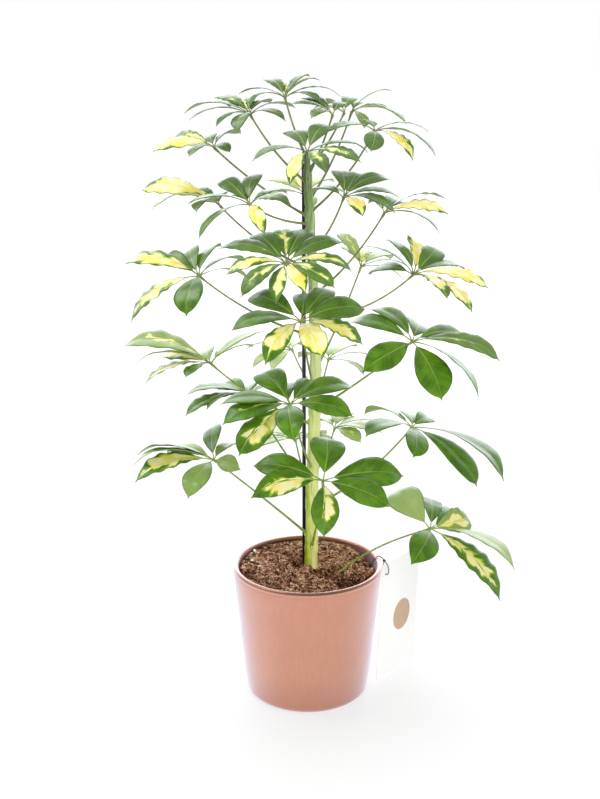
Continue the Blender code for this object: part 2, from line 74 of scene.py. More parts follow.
# Each leaf: name, hub, its petiole as (height where it leaves the stem, sag as a share of its reach),
# and its leaflets as (bearing, rise, length, cream from 0 to 9, how far it turns to the front, or to
# the back where that is negative, how broad it is beside the usual leaflet, and how much paler it is
# painted, as painted back light).
# The last three are left out from where they are usual.
USUAL_LEAFLET = (0.0, 1.0, 0.0)
LEAVES = (
    ("leaf_01_low_right", (150, -40, 234), None,
     ((120, 20, 85, 0, .85, 1.2, .8), (85, 10, 80, 1, -.2, .8), (60, 0, 80, 1, -.1, .8),
      (30, 3, 64, 5, .8, 1.25, .6), (330, -8, 115, 1, -.6, .9, .8), (318, -27, 122, 5, .1, .85),
      (250, -8, 82, 0, .5, 1.1))),
    ("leaf_02_left", (-116, -10, 313), (204, -0.02),
     ((204, -4, 102, 6, .1, .9), (188, 6, 98, 1, -.6, 1, .5), (170, 6, 98, 1, -.6, 1, .6),
      (247, -15, 75, 0, .4, 1, .4), (148, 2, 75, 0, -.3, 1, .7), (93, 21, 75, 0, .2, .9),
      (318, -2, 45, 0, .5, 1.1, .6), (60, 12, 50, 0, .2, 1, .5))),
    ("leaf_03_back", (-16, 110, 301), (257, 0.08),
     ((206, -2, 70, 1, .2), (128, -3, 70, 1), (160, -8, 60, 1), (90, -10, 70, 0),
      (50, -5, 65, 1), (10, -5, 60, 1, .2))),
    ("leaf_04_front", (17, -100, 318), (189, 0.10),
     ((85, 26, 80, 0, .1, 1.2), (164, 9, 87, 0, -.1), (198, -4, 87, 5, 0, .85),
      (270, -28, 80, 4, 0, .95), (10, 2, 98, 0, .3), (337, -11, 84, 2, -.1))),
    ("leaf_05_back", (36, 100, 320), (285, 0.10),
     ((311, -5, 50, 4, .4), (328, 8, 60, 3, .2), (0, -4, 65, 2), (35, 0, 70, 1),
      (75, 0, 75, 1), (110, -5, 65, 2))),
    ("leaf_06_right", (130, 20, 346), (247, 0.16),
     ((130, 4, 85, 0, -.5), (224, 10, 85, 0, -.5), (60, -2, 60, 0), (92, 0, 62, 0),
      (268, -8, 78, 0, .1), (328, -14, 135, 0, -.3, .85), (322, -28, 112, 0, .15, .95))),
    ("leaf_07_back_left", (-73, 42, 382), (270, 0.08),
     ((165, 4, 72, 2, -.2), (185, 6, 80, 2, -.3), (203, -8, 88, 2, -.1, .9), (222, 0, 70, 1),
      (130, -2, 70, 1), (90, -5, 65, 1), (50, 0, 60, 1))),
    ("leaf_08_front", (-21, -100, 410), (297, 0.10),
     ((122, 20, 76, 0, .1, 1.15), (97, 8, 66, 1), (62, 14, 66, 0, 0, 1.1), (190, 6, 80, 0, -.2),
      (206, -4, 84, 3, -.1), (222, -28, 88, 5), (273, -10, 75, 0, 0, 1.05), (18, 15, 78, 0, -.2),
      (340, -2, 75, 2, -.1))),
    ("leaf_09_back", (27, 100, 413), (385, 0.08),
     ((10, 4, 60, 1), (50, 10, 60, 1), (90, 2, 70, 1), (130, -5, 62, 1),
      (330, -8, 55, 2))),
    ("leaf_10_back_left", (-20, 110, 424), (400, 0.08),
     ((115, -6, 60, 1), (200, -14, 58, 1, .2), (160, 0, 65, 1), (75, -4, 60, 1),
      (235, -18, 50, 2))),
    ("leaf_11_left", (-118, 0, 433), (355, 0.12),
     ((170, 14, 112, 4, -.1, .85, .55), (190, 8, 92, 1, -.4), (206, -6, 86, 6, -.2, .9),
      (150, 2, 74, 6, 0, 1, .3), (235, -4, 50, 3), (53, 8, 80, 1, 0, 1, .8),
      (26, 26, 84, 1, 0, .9, .8), (100, 6, 55, 2, 0, 1, .5))),
    ("leaf_12_right", (124, -20, 465), (374, 0.04),
     ((299, -38, 85, 0, .5, 1.2), (221, -14, 82, 1, .4), (125, 22, 84, 0, .25), (155, 16, 84, 0, .35),
      (78, 3, 82, 0, -.2), (25, 0, 82, 0, -.1), (345, -4, 106, 3, .2, .75, .15),
      (322, -24, 108, 2, -.5, .8))),
    ("leaf_13_front", (-9, -120, 511), (397, 0.08),
     ((86, 18, 70, 0), (58, 24, 74, 0), (146, 19, 76, 0, .1, 1.1), (192, 0, 78, 2, -.2),
      (236, -24, 75, 6, 0, .9), (289, -16, 72, 9), (14, 10, 76, 0, 0, 1.1), (342, -14, 74, 6, -.2))),
    ("leaf_14_back", (67, 90, 536), (425, 0.08),
     ((130, 44, 60, 4, .3), (115, 20, 60, 5, .2), (86, 14, 60, 6), (50, 8, 65, 1),
      (15, 2, 62, 1), (340, -8, 58, 1))),
    ("leaf_15_right", (125, 0, 542), (490, 0.20),
     ((115, 30, 74, 0, .1, .9), (152, 26, 74, 0, -.4), (135, -2, 72, 0, .5), (88, 34, 74, 7, 0, .8),
      (58, 20, 74, 0, .2), (25, 4, 76, 1, -.2), (340, -4, 92, 8, .25, .85), (300, -10, 72, 6, .3),
      (322, -20, 90, 7, .15, .9))),
    ("leaf_16_left", (-128, -20, 544), (466, 0.12),
     ((170, 12, 94, 6, .1, .85), (208, -24, 98, 6, .2, .95), (260, -22, 74, 0, .5, 1.2),
      (140, 16, 68, 0, .2), (104, 22, 70, 0), (72, 26, 72, 1, -.2), (45, 12, 74, 0, -.2),
      (20, 0, 60, 0, -.2))),
    ("leaf_17_front", (-25, -110, 573), (508, 0.05),
     ((124, 24, 72, 0, 0, 1.1), (96, 30, 68, 4, 0, .9), (68, 28, 72, 0, 0, 1.1), (24, 20, 74, 0, -.1),
      (345, 2, 74, 5, -.2, .8), (292, -18, 58, 8, 0, .85), (315, -10, 74, 4, 0, .8),
      (166, 14, 80, 2, -.2), (198, -2, 68, 6, -.2, .8), (228, -16, 74, 4, 0, .8),
      (258, -30, 62, 5, 0, .8))),
    ("leaf_18_left", (-103, -10, 625), (548, 0.14),
     ((172, 14, 96, 8, .3, .8), (212, 6, 88, 5, -.1), (135, 18, 52, 3), (245, 6, 60, 1, -.2),
      (90, 8, 55, 1))),
    ("leaf_19_right", (90, 10, 614), (518, 0.16),
     ((336, -10, 72, 0, -.3), (356, 4, 76, 8, .2), (18, 14, 80, 5, -.4, .9), (113, 16, 42, 3),
      (70, 10, 60, 1))),
    ("leaf_20_back", (-4, 100, 625), (578, 0.08),
     ((145, 18, 60, 2, .3), (103, 20, 60, 4, .2), (50, 18, 60, 2, .2), (286, -12, 40, 1),
      (180, 0, 55, 1), (15, 4, 55, 1))),
    ("leaf_21_front_left", (-66, -60, 632), (603, 0.12),
     ((130, 26, 62, 0), (110, 8, 55, 0), (82, 32, 62, 0), (46, 12, 60, 2, -.2),
      (322, 10, 58, 3, -.2), (287, -20, 60, 7, 0, .75), (186, 4, 72, 0, -.3),
      (212, -22, 74, 0, -.4, .75))),
    ("leaf_22_front_right", (38, -90, 643), (572, 0.16),
     ((94, 26, 62, 0, 0, 1.05), (70, 24, 62, 0), (26, 22, 62, 0, -.1), (126, 4, 60, 0, -.1),
      (2, 4, 64, 2, -.2), (335, -8, 62, 2, -.2), (294, -14, 50, 7))),
    ("leaf_23_left", (-110, 10, 690), (610, 0.08),
     ((205, 2, 74, 8, .5, .95), (238, -4, 50, 0, .2), (150, 6, 70, 4, .3), (60, 18, 58, 2),
      (100, 8, 60, 0), (300, 0, 40, 0))),
    ("leaf_24_front", (-2, -90, 692), (640, 0.08),
     ((112, 20, 62, 0, 0, 1.1), (64, 28, 62, 0), (198, -1, 62, 0, -.3), (12, 6, 68, 0, -.3),
      (338, -4, 62, 4, -.2), (292, -16, 56, 4, 0, .9), (250, -26, 62, 7, 0, .75))),
    ("leaf_25_right", (74, -40, 712), (616, 0.16),
     ((262, -24, 42, 0, .5, 1.4), (205, 4, 60, 2, -.2), (350, 4, 60, 4, -.2), (328, -12, 80, 2, -.3),
      (312, -20, 66, 7, 0, .8), (100, 8, 50, 0))),
    ("leaf_26_left", (-67, 0, 728), (650, 0.16),
     ((170, 6, 78, 1, -.1), (196, -1, 72, 1, -.1), (226, -8, 55, 1), (255, -12, 55, 0),
      (140, 20, 60, 3), (118, 12, 60, 6), (92, 18, 60, 0), (68, 14, 60, 0),
      (30, 10, 60, 0, -.1), (325, 0, 50, 0, -.1))),
    ("leaf_27_young_front", (27, -30, 729), (657, 0.10),
     ((137, 22, 52, 0, .2), (235, 4, 42, 0), (180, 18, 48, 0), (70, 20, 40, 0))),
    ("leaf_28_young_right", (42, 25, 729), (664, 0.12),
     ((110, 14, 52, 0), (75, 20, 50, 1), (160, 8, 40, 0), (200, 6, 42, 0))),
    ("leaf_29_young_back", (52, 55, 729), (630, 0.16),
     ((318, -4, 84, 4, -.1, .8), (24, 28, 58, 0, 0, .7), (350, 4, 50, 0), (290, -18, 44, 0, .2),
      (80, 10, 50, 0))),
    ("leaf_30_top", (-27, 0, 747), (680, 0.18),
     ((118, 24, 52, 2, .1), (84, 20, 50, 4), (50, 34, 50, 1, 0, .9), (25, 30, 48, 1, 0, .8),
      (350, 8, 64, 2, -.1), (322, 0, 52, 1, -.1), (172, 8, 54, 0, -.1), (205, 0, 46, 0, -.1))),
)

# ---------------- pot, soil, stake and card

POT_HEIGHT = 0.172
POT_RIM_RADIUS = 0.095
POT_FOOT_RADIUS = 0.078
POT_WALL = 0.0065
POT_FLOOR = 0.009
POT_FOOT_ROUND = 0.009
POT_TURNS = 128
LIP_GROOVE = ((0.1668, 0.0006), (0.1658, 0.0007), (0.1646, 0.0003), (0.1632, 0.0))

SOIL_LEVEL = 0.1625
SOIL_FALL = 0.006
SOIL_EDGE = 0.1672              # the soil stays under the rounding of the lip
SOIL_SKIRT = 0.030              # how deep the modelled soil goes below its surface
SOIL_GAP = 0.0004               # between the soil and the pot's wall
SOIL_RINGS, SOIL_TURNS = 64, 190
CRUMB_SIZES = (0.0007, 0.0024)
COIR_STRANDS = 1500
COIR_LENGTHS, COIR_RADII = (0.005, 0.016), (0.00025, 0.00065)
# The larger grains of perlite, as (right, back, radius), and how many small ones there are
PERLITE = ((-0.069, 0.046, 0.0027), (-0.071, 0.014, 0.0025), (-0.011, -0.078, 0.0013),
           (-0.022, -0.014, 0.0012))
PERLITE_BITS, PERLITE_BIT_SIZES = 16, (0.0005, 0.0010)
# Hollows: depth, and (right, back, radius); the last three are heaps, by the stem and along the wall
SOIL_HEAPS = ((0.008, (-0.014, 0.016, 0.012)), (0.006, (0.022, -0.006, 0.016)),
              (0.010, (0.064, -0.034, 0.026)), (-0.005, (0.000, 0.002, 0.007)),
              (-0.004, (0.040, 0.066, 0.030)), (-0.003, (-0.050, 0.062, 0.030)))

STEM_RINGS, STEM_SIDES = 300, 40
JOINT_SWELL, JOINT_REACH = 0.0009, 0.006        # the swelling at a leaf joint: height, and half length
SCAR_DEPTH, SCAR_REACH, SCAR_BELOW = 0.0004, 0.0010, 0.008
GROOVE_DEPTH, GROOVE_WIDTH = 0.0042, 0.20       # the groove in the stem's foot; its width in radians
GROOVE_TURN = math.radians(262)
GROOVE_FADES = (0.18, 0.225)
BUD_RADIUS = 0.0021
BUD_ABOVE = 0.0050              # how far a bud sits above its petiole's foot

STAKE_RADIUS = 0.0024
STAKE_FOOT = (-0.0042, 0.0193, 0.130)
STAKE_TOP = (-0.0055, 0.0135, 0.672)

CARD_CORNER = (0.090, -0.002, 0.0075)
CARD_TURN = math.radians(55)
CARD_LEAN = math.radians(4)
CARD_HOLE = (0.008, 0.144)

STRING_RADIUS = 0.0006
STRING_FROM_SOIL = ((80, 14, 146), (82, 14.6, 158), (85.2, 15.2, 169), (90.5, 15.8, 173.9),
                    (95, 15.6, 172.6), (98.5, 15, 168.5), (102.8, 12, 163), (104.4, 10.6, 156))
STRING_FROM_HOLE = ((96.8, 15.8, 156), (97.4, 15.6, 162), (98.5, 15.0, 166.9))
STRING_THROUGH = 0.003
STRING_POINTS = 34
KNOT_CENTRE = (98.5, 15, 168.0)
KNOT_RADIUS = 0.0019

# ---------------- the room's plan

LENS, SENSOR = 55, 36           # millimetres
CAMERA_AT = (-0.0098, -1.439, 0.795)
CAMERA_PITCH = math.radians(90 - 15.8)
FLOOR_REACH = 6.0
LAMPS_AIM = Vector((0.0, 0.0, 0.40))
# Each lamp: name, place, size, watts, and whether it shows in gloss
LAMPS = (("key", (-1.2, 0.3, 2.0), 1.2, 20.0, True), ("front", (0.4, -2.2, 1.3), 1.8, 44.0, False),
         ("overhead", (0.0, 0.3, 2.7), 2.4, 34.0, False))

# ---------------- small helpers


def colour(code):
    """An sRGB hex code as linear RGBA."""
    parts = [int(code[i:i + 2], 16) / 255 for i in (1, 3, 5)]
    return tuple(c / 12.92 if c <= 0.04045 else ((c + 0.055) / 1.055) ** 2.4 for c in parts) + (1.0,)


def per_mm(size_mm):
    """The texture scale that makes one feature this many millimetres wide."""
    return 1.0 / (size_mm * MM)


def node(tree, kind, inputs=None, stops=(), **settings):
    """Adds a shader node with its settings and links.

    Each input is a value, another node's output, or a node whose first output is meant. The stops are a
    colour ramp's, as (place, hex code or colour).
    """
    made = tree.nodes.new("ShaderNode" + kind)
    for key, value in settings.items():
        setattr(made, key, value)
    for key, value in (inputs or {}).items():
        if isinstance(value, bpy.types.Node):
            value = value.outputs[0]
        if isinstance(value, bpy.types.NodeSocket):
            tree.links.new(value, made.inputs[key])
        else:
            made.inputs[key].default_value = value
    if stops:
        band = made.color_ramp.elements
        while len(band) < len(stops):
            band.new(0.5)
        for element, (place, tint) in zip(band, stops):
            element.position = place
            element.color = colour(tint) if isinstance(tint, str) else tint
    return made


def new_material(name):
    """A bare material, its node tree, and the place on the object that its patterns follow."""
    made = bpy.data.materials.new(name)
    made.use_nodes = True
    tree = made.node_tree
    tree.nodes.clear()
    return made, tree, node(tree, "TexCoord").outputs["Object"]


def grey(level):
    return (level, level, level, 1.0)


def add_object(name, data, *finishes):
    made = bpy.data.objects.new(name, data)
    bpy.context.scene.collection.objects.link(made)
    for finish in finishes:
        data.materials.append(finish)
    return made


def to_mesh(bm, name):
    shape = bpy.data.meshes.new(name)
    bm.to_mesh(shape)
    bm.free()
    return shape


def shade_smooth(thing):
    for face in thing.data.polygons:
        face.use_smooth = True


def keep(thing, slot, *nodes):
    """The piece rides on the plant and stands for these CAD nodes; the slot is not used."""
    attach(thing, ROOT)
    if nodes:
        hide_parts(*nodes)


def spline_point(ends, at):
    span = min(int(at), len(ends) - 4)
    t = at - span
    a, b, c, d = ends[span:span + 4]
    return 0.5 * (2 * b + (c - a) * t + (2 * a - 5 * b + 4 * c - d) * t * t
                  + (3 * b - a - 3 * c + d) * t ** 3)


def smooth_points(points, count):
    """Points read evenly from a smooth curve that passes through the given ones."""
    ends = [points[0] * 2 - points[1], *points, points[-1] * 2 - points[-2]]
    return [spline_point(ends, (len(points) - 1) * i / (count - 1)) for i in range(count)]


def rod_curve(name, lines, rounding=3):
    """A curve object's data with one tube for each line of (points, radii)."""
    curve = bpy.data.curves.new(name, "CURVE")
    curve.dimensions = "3D"
    curve.bevel_depth = 1.0
    curve.bevel_resolution = rounding
    curve.use_fill_caps = True
    for points, radii in lines:
        line = curve.splines.new("POLY")
        line.points.add(len(points) - 1)
        line.use_smooth = True
        for spot, place, radius in zip(line.points, points, radii):
            spot.co = (*place, 1.0)
            spot.radius = radius
    return curve


# ---------------- finishes


def copper_glaze():
    """Copper lustre on earthenware under a clear glaze: satin metal with a pale sheen at its edges.

    The brush that laid it left very faint upright lines. Towards the foot its colour is painted
    darker, as painted shade.
    """
    finish, tree, place = new_material("copper_lustre_glaze")
    upright = node(tree, "Mapping", {"Vector": place, "Scale": (1.0, 1.0, 0.12)})
    lines = node(tree, "TexNoise", {"Vector": upright, "Scale": per_mm(3.0), "Detail": 4.0})
    cloud = node(tree, "TexNoise", {"Vector": place, "Scale": per_mm(40), "Detail": 2.0})
    grain = node(tree, "TexNoise", {"Vector": place, "Scale": per_mm(0.9), "Detail": 3.0})
    blend = 0.0
    for part in (lines, cloud):
        blend = node(tree, "Math", {0: part, 1: 0.5, 2: blend}, operation="MULTIPLY_ADD")
    copper = node(tree, "ValToRGB", {"Fac": blend}, ((0.38, "#CF8A6B"), (0.62, "#D59172")))
    height = node(tree, "SeparateXYZ", {"Vector": place}).outputs["Z"]
    # Painted shade: low on the pot the copper is mixed towards a darker tint.
    painted_foot_shade = node(tree, "MapRange", {"Value": height, "From Min": 0.002, "From Max": 0.050,
                                    "To Min": 0.75, "To Max": 0.0})
    tint = node(tree, "Mix", {"Factor": painted_foot_shade, "A": copper, "B": colour("#BC7456")}, data_type="RGBA")
    rough = node(tree, "ValToRGB", {"Fac": blend}, ((0.35, grey(0.35)), (0.65, grey(0.38))))
    bump = node(tree, "Bump", {"Height": grain, "Strength": 0.06, "Distance": 0.0002})
    shader = node(tree, "BsdfPrincipled", {
        "Base Color": tint.outputs["Result"], "Metallic": 1.0, "Roughness": rough, "Normal": bump,
        "Coat Weight": 1.0, "Coat Roughness": 0.18, "Coat IOR": 1.7,
        "Sheen Weight": 1.0, "Sheen Roughness": 0.48, "Sheen Tint": colour("#DCDCF8")})
    node(tree, "OutputMaterial", {"Surface": shader})
    return finish


def peat(name, dark, mid, light):
    """Milled peat with coir: loose crumbs and hairs, quite matt, that go from near black to tan.

    It is darker in patches, and painted darker down in its hollows, as painted shade.
    """
    finish, tree, place = new_material(name)
    crumb = node(tree, "TexNoise", {"Vector": place, "Scale": per_mm(3.0), "Detail": 6.0,
                                    "Roughness": 0.7})
    grit = node(tree, "TexNoise", {"Vector": place, "Scale": per_mm(0.7), "Detail": 3.0})
    clods = node(tree, "TexNoise", {"Vector": place, "Scale": per_mm(11), "Detail": 2.0})
    x, y, z = node(tree, "SeparateXYZ", {"Vector": place}).outputs
    fall = SOIL_FALL / POT_RIM_RADIUS
    depth = 0.0
    for part, weight in ((z, 1.0), (x, fall), (y, -fall)):
        depth = node(tree, "Math", {0: part, 1: weight, 2: depth}, operation="MULTIPLY_ADD")
    # Painted shade: the lower the peat lies below its even surface, the darker its colour.
    painted_hollow_shade = node(tree, "MapRange", {"Value": depth, "From Min": SOIL_LEVEL - 0.008,
                                  "From Max": SOIL_LEVEL + 0.001})
    tone = 0.0
    for part, weight in ((crumb, 0.5), (clods, 0.22), (painted_hollow_shade, 0.21)):
        tone = node(tree, "Math", {0: part, 1: weight, 2: tone}, operation="MULTIPLY_ADD")
    tint = node(tree, "ValToRGB", {"Fac": tone}, ((0.42, dark), (0.52, mid), (0.61, light)))
    bump = node(tree, "Bump", {"Height": grit, "Strength": 0.7, "Distance": 0.0006})
    shader = node(tree, "BsdfPrincipled", {"Base Color": tint, "Roughness": 0.95,
                                           "Specular IOR Level": 0.2, "Normal": bump})
    node(tree, "OutputMaterial", {"Surface": shader})
    return finish


def perlite():
    """Expanded perlite: white volcanic foam, chalky and pitted."""
    finish, tree, place = new_material("perlite_grain")
    pits = node(tree, "TexVoronoi", {"Vector": place, "Scale": per_mm(0.6)})
    tint = node(tree, "ValToRGB", {"Fac": pits}, ((0.0, "#D9D4CC"), (0.5, "#FFFFFF")))
    bump = node(tree, "Bump", {"Height": pits, "Strength": 0.5, "Distance": 0.0004})
    shader = node(tree, "BsdfPrincipled", {"Base Color": tint, "Roughness": 0.9, "Normal": bump})
    node(tree, "OutputMaterial", {"Surface": shader})
    return finish


def green_bark():
    """Young bark of the stem: waxy green skin with yellow streaks along it, more on its right side.

    It is yellower low down, and grey-green where it is still growing.
    """
    finish, tree, place = new_material("young_green_bark")
    x, _, z = node(tree, "SeparateXYZ", {"Vector": place}).outputs
    along = node(tree, "Mapping", {"Vector": place, "Scale": (1.0, 1.0, 0.07)})
    streak = node(tree, "TexNoise", {"Vector": along, "Scale": per_mm(4.5), "Detail": 3.0})
    fine = node(tree, "TexNoise", {"Vector": along, "Scale": per_mm(0.9), "Detail": 3.0})
    yellow = 0.0
    for part, weight in ((streak, 0.7), (x, 24.0), (fine, 0.3)):
        yellow = node(tree, "Math", {0: part, 1: weight, 2: yellow}, operation="MULTIPLY_ADD")
    old = node(tree, "ValToRGB", {"Fac": yellow},
               ((0.38, "#7A9C1C"), (0.48, "#AEC638"),
                (0.58, "#D8E46C"), (0.72, "#F4F8A0")))
    young = node(tree, "ValToRGB", {"Fac": yellow},
                 ((0.38, "#566C36"), (0.54, "#849E60"), (0.72, "#BCCE9E")))
    age = node(tree, "MapRange", {"Value": z, "From Min": 0.24, "From Max": 0.58})
    tint = node(tree, "Mix", {"Factor": age, "A": old, "B": young}, data_type="RGBA")
    bump = node(tree, "Bump", {"Height": fine, "Strength": 0.4, "Distance": 0.0005})
    shader = node(tree, "BsdfPrincipled", {"Base Color": tint.outputs["Result"],
                                           "Roughness": 0.42, "Normal": bump})
    node(tree, "OutputMaterial", {"Surface": shader})
    return finish


def petiole_skin():
    """Leaf stalk: smooth waxy olive skin, yellow-green low on the plant and browner near the top."""
    finish, tree, place = new_material("petiole_skin")
    height = node(tree, "SeparateXYZ", {"Vector": place}).outputs["Z"]
    patch = node(tree, "TexNoise", {"Vector": place, "Scale": per_mm(12), "Detail": 3.0})
    low = node(tree, "ValToRGB", {"Fac": patch}, ((0.35, "#6C8A30"), (0.65, "#9DB24E")))
    high = node(tree, "ValToRGB", {"Fac": patch}, ((0.35, "#5F6A3A"), (0.65, "#8B9257")))
    age = node(tree, "MapRange", {"Value": height, "From Min": 0.30, "From Max": 0.60})
    tint = node(tree, "Mix", {"Factor": age, "A": low, "B": high}, data_type="RGBA")
    shader = node(tree, "BsdfPrincipled", {"Base Color": tint.outputs["Result"], "Roughness": 0.45})
    node(tree, "OutputMaterial", {"Surface": shader})
    return finish


def leaf_skin(name, tones, roughness, relief):
    """Waxy skin of a variegated blade.

    Cream starts at the midrib and runs out along the side veins in jagged patches, a lime band borders
    it, and the rest is green in two tones, with a paler midrib and a thin dark margin. The side
    veins are sunken, so the gloss breaks along them.
    """
    finish, tree, place = new_material(name)
    tones = {key: colour(code) for key, code in tones.items()}
    lay = node(tree, "Attribute", attribute_name="lay").outputs["Vector"]
    cream, off_centre, tipward, pale, rib, margin = (
        node(tree, "Attribute", attribute_name=key).outputs["Fac"]
        for key in ("cream", "off_centre", "tipward", "pale", "rib", "margin"))
    height = node(tree, "SeparateXYZ", {"Vector": place}).outputs["Z"]
    patches = node(tree, "TexNoise", {"Vector": lay, "Scale": per_mm(17), "Detail": 1.0})
    along_veins = node(tree, "Mapping", {"Vector": lay, "Scale": (0.22, 1.0, 1.0)})
    jags = node(tree, "TexNoise", {"Vector": along_veins, "Scale": per_mm(4.5), "Detail": 2.0})
    veins = node(tree, "TexWave", {"Vector": lay, "Scale": per_mm(24), "Distortion": 1.2,
                                   "Detail": 1.0}, bands_direction="Y").outputs["Fac"]
    pores = node(tree, "TexNoise", {"Vector": lay, "Scale": per_mm(2.2), "Detail": 2.0})
    tip = node(tree, "MapRange", {"Value": tipward, "From Min": 0.70, "From Max": 1.0})

    amount = 0.0
    for part, weight in ((cream, 1.9), (off_centre, -0.75), (tip, -0.8), (patches, 1.7), (jags, 0.5)):
        amount = node(tree, "Math", {0: part, 1: weight, 2: amount}, operation="MULTIPLY_ADD")
    body = node(tree, "ValToRGB", {"Fac": patches}, ((0.36, tones["dark"]), (0.64, tones["green"])))
    golden = node(tree, "ValToRGB", {"Fac": patches}, ((0.40, tones["gold"]), (0.62, tones["cream"])))

    # Each coat of colour: what it follows, between which two values, its share at each, and its tint
    # The height coat is painted glare: it greys the upper leaves with the high tint.
    # The pale coat, with the young tint, is painted back light that makes the leaflets paler.
    coats = ((height, 0.45, 0.66, 0.0, 0.6, tones["high"]), (pale, 0.0, 1.0, 0.0, 1.0, tones["young"]),
             (amount, 1.70, 1.80, 0.0, 1.0, tones["lime"]), (amount, 1.84, 1.90, 0.0, 1.0, golden),
             (veins, 0.93, 1.0, 0.0, 0.07, tones["vein"]), (rib, 0.6, 1.2, 0.45, 0.0, tones["vein"]),
             (margin, 0.90, 0.97, 0.0, 0.7, tones["dark"]))
    for follows, low, high, at_low, at_high, tint in coats:
        share = node(tree, "MapRange", {"Value": follows, "From Min": low, "From Max": high,
                                        "To Min": at_low, "To Max": at_high})
        body = node(tree, "Mix", {"Factor": share, "A": body, "B": tint},
                    data_type="RGBA").outputs["Result"]

    swell = 0.0
    for part, weight in ((veins, -0.3), (pores, 0.6)):
        swell = node(tree, "Math", {0: part, 1: weight, 2: swell}, operation="MULTIPLY_ADD")
    bump = node(tree, "Bump", {"Height": swell, "Strength": relief, "Distance": 0.0005})
    shader = node(tree, "BsdfPrincipled", {"Base Color": body, "Roughness": roughness, "Normal": bump})
    node(tree, "OutputMaterial", {"Surface": shader})
    return finish


def coated_steel():
    """Plant stake: steel in a black plastic coat, drawn smooth, so it shows one long highlight."""
    finish, tree, place = new_material("black_plastic_coat")
    drawn = node(tree, "Mapping", {"Vector": place, "Scale": (1.0, 1.0, 0.05)})
    line = node(tree, "TexNoise", {"Vector": drawn, "Scale": per_mm(0.6)})
    rough = node(tree, "ValToRGB", {"Fac": line}, ((0.3, grey(0.22)), (0.7, grey(0.34))))
    shader = node(tree, "BsdfPrincipled", {"Base Color": colour("#15171C"), "Roughness": rough})
    node(tree, "OutputMaterial", {"Surface": shader})
    return finish


def card_paper():
    """Uncoated white card, pressed: matt, with a faint paper tooth, and a slight painted glow."""
    finish, tree, place = new_material("uncoated_white_card")
    tooth = node(tree, "TexNoise", {"Vector": place, "Scale": per_mm(1.0), "Detail": 4.0})
    tint = node(tree, "ValToRGB", {"Fac": tooth}, ((0.3, "#F7F6F3"), (0.7, "#FFFFFF")))
    bump = node(tree, "Bump", {"Height": tooth, "Strength": 0.12, "Distance": 0.0002})
    # Painted light: a slight emission makes the card glow white, though it is no lamp.
    shader = node(tree, "BsdfPrincipled", {
        "Base Color": tint, "Roughness": 0.85, "Normal": bump,
        "Emission Color": grey(1.0), "Emission Strength": 0.08})
    node(tree, "OutputMaterial", {"Surface": shader})
    return finish


def tan_print():
    """Tan ink on card: a plain disc, matt, a little mottled where the ink sank in."""
    finish, tree, place = new_material("tan_ink_print")
    mottle = node(tree, "TexNoise", {"Vector": place, "Scale": per_mm(2.0), "Detail": 5.0})
    tint = node(tree, "ValToRGB", {"Fac": mottle}, ((0.3, "#C9A88C"), (0.7, "#D8BCA2")))
    shader = node(tree, "BsdfPrincipled", {"Base Color": tint, "Roughness": 0.8})
    node(tree, "OutputMaterial", {"Surface": shader})
    return finish


def twisted_string():
    """Waxed cotton string, twisted: dark grey plies that show as slanting lines."""
    finish, tree, place = new_material("twisted_cotton_string")
    ply = node(tree, "TexWave", {"Vector": place, "Scale": per_mm(3.0), "Distortion": 0.5},
               bands_direction="DIAGONAL").outputs["Fac"]
    tint = node(tree, "ValToRGB", {"Fac": ply}, ((0.2, "#2C2D31"), (0.8, "#55575D")))
    bump = node(tree, "Bump", {"Height": ply, "Strength": 0.6, "Distance": 0.0002})
    shader = node(tree, "BsdfPrincipled", {"Base Color": tint, "Roughness": 0.8, "Normal": bump})
    node(tree, "OutputMaterial", {"Surface": shader})
    return finish


def studio_white():
    """The pale floor: matt and lit from below, more so further out, so it stays white."""
    finish, tree, place = new_material("studio_white")
    out = node(tree, "VectorMath", {0: place}, operation="LENGTH").outputs["Value"]
    glow = node(tree, "MapRange", {"Value": out, "From Min": 0.7, "From Max": 2.2,
                                   "To Min": 0.69, "To Max": 0.95})
    shader = node(tree, "BsdfPrincipled", {
        "Base Color": grey(0.25), "Roughness": 0.7, "Emission Color": grey(1.0),
        "Emission Strength": glow})
    node(tree, "OutputMaterial", {"Surface": shader})
    return finish


# ---------------- camera, light and floor


def light_room(scene):
    """A white room that is bright behind the plant and dimmer in front of it."""
    world = bpy.data.worlds.new("studio")
    world.use_nodes = True
    tree = world.node_tree
    tree.nodes.clear()
    way = node(tree, "TexCoord").outputs["Generated"]
    depth = node(tree, "SeparateXYZ", {"Vector": way}).outputs["Y"]
    back = node(tree, "MapRange", {"Value": depth, "From Min": -1.0, "From Max": 1.0})
    level = node(tree, "ValToRGB", {"Fac": back}, (
        (0.0, grey(0.05)), (0.50, grey(0.08)), (0.83, grey(0.20)), (0.93, "#F4F7FF")))
    seen = node(tree, "Background", {"Color": grey(1.0), "Strength": 1.0})
    shed = node(tree, "Background", {"Color": level, "Strength": 3.0})
    ray = node(tree, "LightPath").outputs["Is Camera Ray"]
    both = node(tree, "MixShader", {0: ray, 1: shed, 2: seen})
    node(tree, "OutputWorld", {"Surface": both})
    scene.world = world


